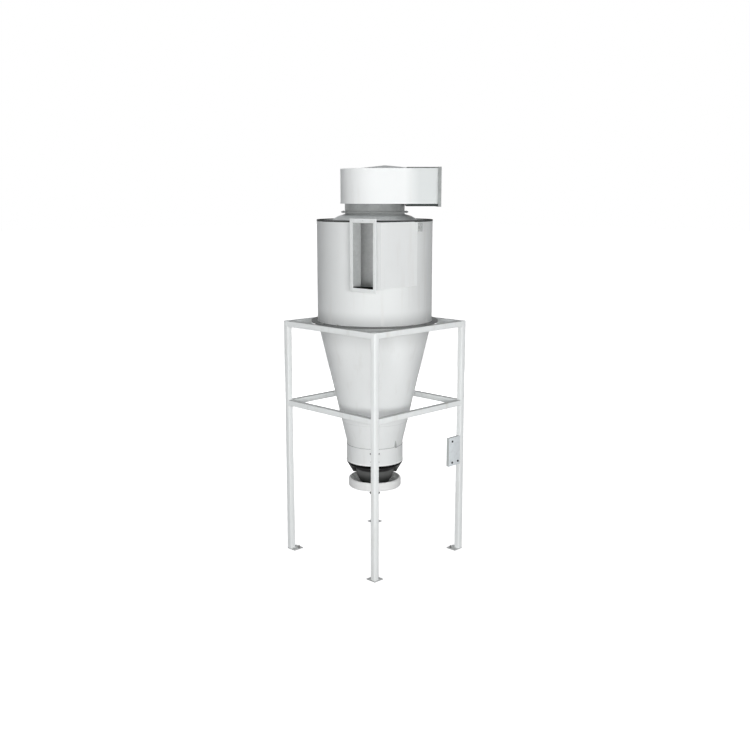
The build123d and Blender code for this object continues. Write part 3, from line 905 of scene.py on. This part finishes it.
# The spiral wall is three arcs from a tongue on, each of a larger radius than the last.
STEP = 0.008              # from the axis to the arcs' centres, both ways
START_R = 0.270
GROWTH = 0.016
TONGUE = 20.0             # degrees from the outlet's direction
ARC_STEP = 3              # degrees from one point of an arc to the next
REACH = 0.545
FRONT_Y = -(STEP + START_R + 2 * GROWTH)
TONGUE_Y = STEP + START_R * sin(radians(TONGUE))

# The seams along the wall's two edges
SEAM_THICK = 0.0016
SEAM_TALL = 0.010
SEAM_EDGE = 0.0003
SEAM_END = REACH - 0.03

# The top sheet's cross break: its corners, its point and how far it rises
BREAK_CORNERS = ((-0.137, -0.225), (0.313, -0.300), (0.313, 0.0803), (-0.137, 0.210))
BREAK_POINT = (0.088, -STEP)
BREAK_RISE = 0.031

RIM_WIDE, RIM_TOP = 0.024, 0.010    # at the sides and below, and above the duct
RIM_THICK, RIM_FOLD = 0.005, 0.022
RIM_HOLE_PITCH = 0.116
BORE_START, BORE_END = 0.50, 0.60    # ends of the rim's cutters, past its faces
DRILL_START, DRILL_END = 0.53, 0.57
LIP_START, LIP_WIDE, LIP_TALL = 0.262, 0.012, 0.0085
TRAY_START, TRAY_INSET, TRAY_DEEP = 0.264, 0.006, 0.020


def to_world(u, y, z):
    """From the scroll's axes, u along the outlet and y across it, to the part's."""
    return Vector(((u - y) / 2 ** 0.5, (u + y) / 2 ** 0.5, z))


def scroll_outline(inset, reach):
    """Points of the spiral wall from the outlet's back edge round to its front edge."""
    r = START_R - inset
    arcs = (
        (-STEP, STEP, r, TONGUE, 90),
        (-STEP, -STEP, r + GROWTH, 90, 180),
        (STEP, -STEP, r + 2 * GROWTH, 180, 270),
    )
    points = [(reach, STEP + r * sin(radians(TONGUE)))]
    for centre_u, centre_y, radius, start, end in arcs:
        count = int((end - start) / ARC_STEP)
        for i in range(count + 1):
            turn = radians(start + (end - start) * i / count)
            points.append((centre_u + radius * cos(turn), centre_y + radius * sin(turn)))
    points.append((reach, FRONT_Y + inset))
    return points


def raised_strip(points, low, high, thick):
    """A sheet strip stood up along a line of points, given its thickness by Solidify."""
    piece = draw_line([to_world(u, y, low) for u, y in points])
    push_out((0, 0, high - low))
    bpy.ops.mesh.select_all(action="SELECT")
    bpy.ops.mesh.normals_make_consistent(inside=False)
    bpy.ops.object.mode_set(mode="OBJECT")
    apply_modifier(piece, "SOLIDIFY", thickness=thick, offset=0, use_even_offset=True)
    tidy_mesh(piece)
    return piece


def flat_sheet(points, low, high):
    """A flat sheet cut to an outline."""
    return plate([to_world(u, y, low) for u, y in points], (0, 0, high - low))


def cross_break():
    """The low four-sided rise of the top sheet: a face drawn up to one point."""
    points = [to_world(u, y, SCROLL_HIGH) for u, y in BREAK_CORNERS]
    piece = draw_line(points + points[:1])
    bpy.ops.mesh.edge_face_add()
    push_out((0, 0, BREAK_RISE))
    bpy.ops.mesh.merge(type="CENTER")
    middle = sum(points, Vector()) / len(points)
    bpy.ops.transform.translate(value=to_world(*BREAK_POINT, SCROLL_HIGH) - middle)
    bpy.ops.object.mode_set(mode="OBJECT")
    tidy_mesh(piece, smooth=0.2)
    return piece


def scroll():
    """The spiral wall, its floor and top, and the seams along the wall's edges."""
    wall_line = scroll_outline(SHEET / 2, REACH)
    wall = raised_strip(wall_line, SCROLL_LOW + SHEET, SCROLL_HIGH - SHEET, SHEET)
    finish_piece(wall, "spiral_wall", SCROLL_PAINT, "body_paint", "scroll_wall")
    outline = scroll_outline(0, REACH)
    floor = flat_sheet(outline, SCROLL_LOW, SCROLL_LOW + SHEET)
    bore = rod((0, 0, 3.1), (0, 0, 3.2), PIPE_R - SHEET, ROUND)
    cut_away(floor, bore)
    tidy_mesh(floor)
    finish_piece(floor, "spiral_floor", SHELL_PAINT, "body_paint", "scroll_floor")
    top = join_pieces([flat_sheet(outline, SCROLL_HIGH - SHEET, SCROLL_HIGH), cross_break()])
    finish_piece(top, "spiral_top", SHELL_PAINT, "body_paint", "scroll_top")
    seam_line = scroll_outline(-SEAM_THICK / 2, SEAM_END)
    for name, low, high in (
        ("top_seam", SCROLL_HIGH - SEAM_TALL, SCROLL_HIGH - SEAM_EDGE),
        ("floor_seam", SCROLL_LOW + SEAM_EDGE, SCROLL_LOW + SEAM_TALL),
    ):
        seam = raised_strip(seam_line, low, high, SEAM_THICK)
        finish_piece(seam, name, SCROLL_PAINT, "body_paint")


def outlet_rim():
    """Rim of the outlet: a flat flange with holes, folded back round its outer edge."""
    middle_y = (TONGUE_Y + FRONT_Y) / 2
    half_y = (TONGUE_Y - FRONT_Y) / 2
    middle_z = (SCROLL_LOW + SCROLL_HIGH) / 2
    low_y, high_y = middle_y - (half_y + RIM_WIDE), middle_y + (half_y + RIM_WIDE)
    low, high = SCROLL_LOW - RIM_WIDE, SCROLL_HIGH + RIM_TOP

    piece = block((REACH - RIM_FOLD, low_y, low), (REACH + RIM_THICK, high_y, high), 0.0006)
    bore = block((BORE_START, FRONT_Y + SHEET, SCROLL_LOW + SHEET),
                 (BORE_END, TONGUE_Y - SHEET, SCROLL_HIGH - SHEET))
    cut_away(piece, bore)
    hollow = block((BORE_START, low_y + SHEET, low + SHEET), (REACH, high_y - SHEET, high - SHEET))
    cut_away(piece, hollow)
    drills = []
    for side in (-1, 1):
        for lift in (-RIM_HOLE_PITCH, 0, RIM_HOLE_PITCH):
            y, z = middle_y + side * (half_y + RIM_WIDE / 2), middle_z + lift
            drills.append(rod((DRILL_START, y, z), (DRILL_END, y, z), HOLE_R, 16))
    cut_away(piece, join_pieces(drills))
    turn_round(piece, OUTLET_TURN)
    tidy_mesh(piece)
    finish_piece(piece, "outlet_rim", RIM_STEEL, "body_paint", "outlet_flange")


def duct_lips():
    """Low folded lips that stand along the two top edges of the outlet duct, dark grey as painted
    shade.
    """
    made = []
    for y in (FRONT_Y, TONGUE_Y - LIP_WIDE):
        made.append(block((LIP_START, y, SCROLL_HIGH),
                          (REACH, y + LIP_WIDE, SCROLL_HIGH + LIP_TALL), PLATE_EDGE))
    piece = join_pieces(made)
    turn_round(piece, OUTLET_TURN)
    tidy_mesh(piece)
    finish_piece(piece, "duct_lips", LIP_STEEL, "bare_steel")


def floor_tray():
    """The stiffening tray under the duct, a folded sheet open towards the floor sheet; its
    near-black is painted shade.
    """
    low_y, high_y = FRONT_Y + TRAY_INSET, TONGUE_Y - TRAY_INSET
    base = SCROLL_LOW - TRAY_DEEP
    piece = block((TRAY_START, low_y, base), (REACH, high_y, SCROLL_LOW))
    cut_away(piece, block((TRAY_START + SHEET, low_y + SHEET, base + SHEET),
                          (REACH - SHEET, high_y - SHEET, SCROLL_LOW + 0.01)))
    turn_round(piece, OUTLET_TURN)
    tidy_mesh(piece)
    finish_piece(piece, "stiffener_tray", TRAY_STEEL, "bare_steel", "outlet_floor_tray")


scroll()
outlet_rim()
duct_lips()
floor_tray()

# ---- Discharge: collar, boot, sleeve and lid ----

COLLAR_R = 0.252
COLLAR_TOP, COLLAR_LOW = 1.005, 0.850
RIB_HALF = 0.020
SLEEVE_THICK = 0.005
LID_R, LID_TOP, LID_BASE = 0.236, 0.690, 0.612
THROAT_R = 0.100


def discharge():
    """The collar, the bead round its lower edge and the seal under it."""
    collar = turned([
        (CONE_END_R, COLLAR_LOW), (COLLAR_R, COLLAR_LOW), (COLLAR_R, COLLAR_TOP - 0.001),
        (COLLAR_R - 0.001, COLLAR_TOP), (CONE_END_R, COLLAR_TOP),
    ])
    finish_piece(collar, "collar", CONE_PAINT, "body_paint", "discharge_collar")
    bead = turned([
        (COLLAR_R - 0.0005, 0.8505), (COLLAR_R + 0.0025, 0.851), (COLLAR_R + 0.0035, 0.853),
        (COLLAR_R + 0.0035, 0.861), (COLLAR_R + 0.0025, 0.863), (COLLAR_R - 0.0005, 0.8635),
    ])
    finish_piece(bead, "collar_bead", BEAD_PAINT, "body_paint")
    band = turned([
        (0.250, 0.850), (COLLAR_R, 0.848), (COLLAR_R + 0.0005, 0.842), (0.2490, 0.834),
        (0.2440, 0.8265), (0.238, 0.823), (0.229, 0.823), (0.229, 0.850),
    ])
    finish_piece(band, "seal", SEAL_RUBBER, "seal_rubber", "seal_band")


def boot():
    """Head of the boot: a shallow funnel with four ribs that lie against the sleeve."""
    funnel = turned([
        (0.2375, 0.8228), (0.222, 0.8172), (0.200, 0.8091), (0.180, 0.8020), (0.1702, 0.7982),
        (0.1655, 0.798), (0.1652, 0.803), (0.229, 0.8228),
    ])
    finish_piece(funnel, "boot_funnel", BOOT_RUBBER, "boot_rubber", "boot_head")
    outline = ((0.155, 0.800), (0.2345, 0.8215), (0.235, 0.808), (0.207, 0.761), (0.195, 0.738),
               (0.160, 0.738))
    rib = plate([(r, -RIB_HALF, z) for r, z in outline], (0, 2 * RIB_HALF, 0))
    round_edges(rib, 0.004, angle=25, segments=3)
    core = turned([
        (0.0001, 0.86), (0.169, 0.86), (0.169, 0.798), (0.166, 0.746), (0.152, 0.694),
        (0.0001, 0.694),
    ], steps=64)
    cut_away(rib, core)
    made = [rib]
    for quarter in (1, 2, 3):
        select_only(rib)
        bpy.ops.object.duplicate_move()
        made.append(bpy.context.object)
        turn_round(made[-1], 90 * quarter)
    ribs = join_pieces(made)
    turn_round(ribs, 45)
    tidy_mesh(ribs, smooth=40)
    finish_piece(ribs, "boot_ribs", BOOT_RUBBER, "boot_rubber")


def sleeve():
    """The narrowing sleeve, turned in easy curves."""
    skin = [
        (0.170, 0.798), (0.1695, 0.780), (0.1685, 0.762), (0.167, 0.746), (0.1645, 0.728),
        (0.160, 0.711), (0.153, 0.694), (0.145, 0.680), (0.1355, 0.666), (0.1265, 0.653),
        (0.118, 0.642),
    ]
    lining = [(r - SLEEVE_THICK, z) for r, z in reversed(skin)]
    piece = turned(skin + lining)
    finish_piece(piece, "sleeve", SLEEVE_RUBBER, "boot_rubber", "flexible_sleeve")


def dished(centre, normal):
    """Whether a face belongs to the dished top of the lid or to its throat."""
    reach = hypot(centre.x, centre.y)
    return THROAT_R - 0.001 < reach < LID_R - 0.013 and centre.z > LID_BASE + 0.002


def lid():
    """The spun lid: a white rim with a dished grey top and the throat in the middle."""
    r, top, base = LID_R, LID_TOP, LID_BASE
    rim = [
        (r - 0.012, base), (r - 0.0045, base + 0.0025), (r - 0.0012, base + 0.0075),
        (r, base + 0.014), (r, top - 0.018), (r - 0.0012, top - 0.0105),
        (r - 0.0045, top - 0.0045), (r - 0.0095, top - 0.001), (r - 0.014, top),
    ]
    dish = [
        (0.124, 0.642), (THROAT_R, 0.642), (THROAT_R, base), (0.104, base), (0.104, 0.638),
        (0.124, 0.638), (r - 0.015, top - 0.006), (r - 0.006, top - 0.012),
        (r - 0.005, base + 0.016), (r - 0.012, base + 0.004),
    ]
    piece = turned(rim + dish)
    line_inside(piece, LID_PAINT, DISH_STEEL, dished)
    finish_piece(piece, "lid", LID_PAINT, "lid_paint", "container_lid")


discharge()
boot()
sleeve()
lid()

# ---- Control box ----

BOX_Y0, BOX_Y1 = 0.3675, 0.5175
BOX_Z0, BOX_Z1 = 0.815, 1.075
BOX_BACK = HALF - 0.032
COVER_THICK, COVER_GAP = 0.0028, 0.0002

# The knobs' places on the cover, as Y and Z, and the radii of a knob and of its base
KNOBS = ((0.4085, 1.041), (0.4085, 0.847), (0.4865, 0.849))
KNOB_R, KNOB_BASE_R = 0.0098, 0.0105


def control_box():
    """The case, its cover and the three knobs."""
    case = block((BOX_BACK, BOX_Y0, BOX_Z0),
                 (HALF - COVER_THICK - COVER_GAP, BOX_Y1, BOX_Z1), 0.0022, 3)
    tidy_mesh(case, smooth=40)
    finish_piece(case, "box_case", CASE_PLASTIC, "box_paint", "control_box")
    cover = block((HALF - COVER_THICK, BOX_Y0, BOX_Z0), (HALF, BOX_Y1, BOX_Z1), 0.0012, 3)
    tidy_mesh(cover, smooth=40)
    finish_piece(cover, "box_front", BOX_PLASTIC, "box_paint", "box_cover")
    sunk, seat, top = HALF - 0.0005, HALF - 0.0001, HALF + 0.005
    made = []
    for y, z in KNOBS:
        made.append(rod((sunk, y, z), (seat, y, z), KNOB_BASE_R, 28))
        made.append(rod((seat, y, z), (top, y, z), KNOB_R, 28, 0.0012))
    piece = join_pieces(made, smooth=35)
    finish_piece(piece, "push_knobs", KNOB_PLASTIC, "knob_black", "box_knobs")


control_box()

# The fins and lugs keep the solids' shape; they only get their paint here.
for name in ("collar_fins", "lifting_lugs"):
    finishes = bpy.data.objects[name].data.materials
    finishes.clear()
    finishes.append(LUG_PAINT)

# ---- Floor, light and background ----


def choose_by_ray(tree, others, chosen, kinds):
    """Gives the rays of some kinds one shader, and all the others another."""
    ray = add_node(tree, "ShaderNodeLightPath")
    share = ray.outputs[kinds[0]]
    for kind in kinds[1:]:
        either = add_node(tree, "ShaderNodeMath", operation="MAXIMUM")
        tree.links.new(share, either.inputs[0])
        tree.links.new(ray.outputs[kind], either.inputs[1])
        share = either.outputs[0]
    choose = add_node(tree, "ShaderNodeMixShader")
    for source, socket in zip((share, others, chosen), choose.inputs):
        tree.links.new(source, socket)
    return choose.outputs[0]


def studio_floor():
    """White to the camera, a little darker near the feet; a grey floor to the light."""
    deselect()
    bpy.ops.mesh.primitive_plane_add(size=160, location=(0, 0, 0))
    floor = bpy.context.object
    floor.name = "studio_floor"
    finish = bpy.data.materials.new("studio_floor")
    finish.use_nodes = True
    tree = finish.node_tree
    tree.nodes.remove(tree.nodes["Principled BSDF"])
    grey = add_node(tree, "ShaderNodeBsdfDiffuse", Color=(0.34, 0.34, 0.34, 1))
    pale = add_node(tree, "ShaderNodeBsdfDiffuse", Color=(0.5, 0.5, 0.5, 1))
    reach = add_node(tree, "ShaderNodeVectorMath", Vector=object_place(tree), operation="LENGTH")
    fade = map_range(tree, reach.outputs["Value"], start=0.8, end=3.5, low=0.80, high=1.0)
    glow = add_node(tree, "ShaderNodeEmission", Color=(1, 1, 1, 1), Strength=fade)
    seen = add_node(tree, "ShaderNodeAddShader")
    tree.links.new(pale.outputs[0], seen.inputs[0])
    tree.links.new(glow.outputs[0], seen.inputs[1])
    chosen = choose_by_ray(tree, grey.outputs[0], seen.outputs[0],
                           ("Is Camera Ray", "Is Glossy Ray"))
    tree.links.new(chosen, tree.nodes["Material Output"].inputs["Surface"])
    floor.data.materials.append(finish)


def studio_world():
    """White as it is seen; as light, a dim sky that is brighter towards the top."""
    world = bpy.data.worlds.new("studio")
    bpy.context.scene.world = world
    world.use_nodes = True
    tree = world.node_tree
    sky = tree.nodes["Background"]
    sky.inputs["Color"].default_value = (0.95, 0.97, 1.0, 1)
    way = add_node(tree, "ShaderNodeTexCoord").outputs["Generated"]
    split = add_node(tree, "ShaderNodeSeparateXYZ", Vector=way)
    strength = map_range(tree, split.outputs["Z"], start=0.0, end=0.8, low=0.10, high=0.38)
    tree.links.new(strength, sky.inputs["Strength"])
    white = add_node(tree, "ShaderNodeBackground", Color=(1, 1, 1, 1), Strength=1.0)
    chosen = choose_by_ray(tree, sky.outputs[0], white.outputs[0],
                           ("Is Camera Ray", "Is Glossy Ray", "Is Transmission Ray"))
    tree.links.new(chosen, tree.nodes["World Output"].inputs["Surface"])


def soft_lamp(name, place, target, wide, high, power, mirrored):
    """A rectangular soft light that points at a target; mirrored if shiny surfaces show it."""
    way = Vector(target) - Vector(place)
    deselect()
    bpy.ops.object.light_add(type="AREA", location=place,
                             rotation=way.to_track_quat("-Z", "Y").to_euler())
    lamp = bpy.context.object
    lamp.name = name
    lamp.data.shape = "RECTANGLE"
    lamp.data.size = wide
    lamp.data.size_y = high
    lamp.data.energy = power
    lamp.visible_glossy = mirrored


studio_floor()
studio_world()
soft_lamp("key", place=(6.8, -6.3, 2.5), target=(0, 0, 1.8),
          wide=9.0, high=2.5, power=740, mirrored=False)
soft_lamp("right_fill", place=(8.9, 1.6, 3.4), target=(0, 0, 1.9),
          wide=2.5, high=2.5, power=25, mirrored=True)
soft_lamp("back_fill", place=(-6.5, 6.5, 3.0), target=(0, 0, 1.9),
          wide=5.0, high=2.5, power=420, mirrored=False)
bpy.context.scene.view_settings.view_transform = "Standard"
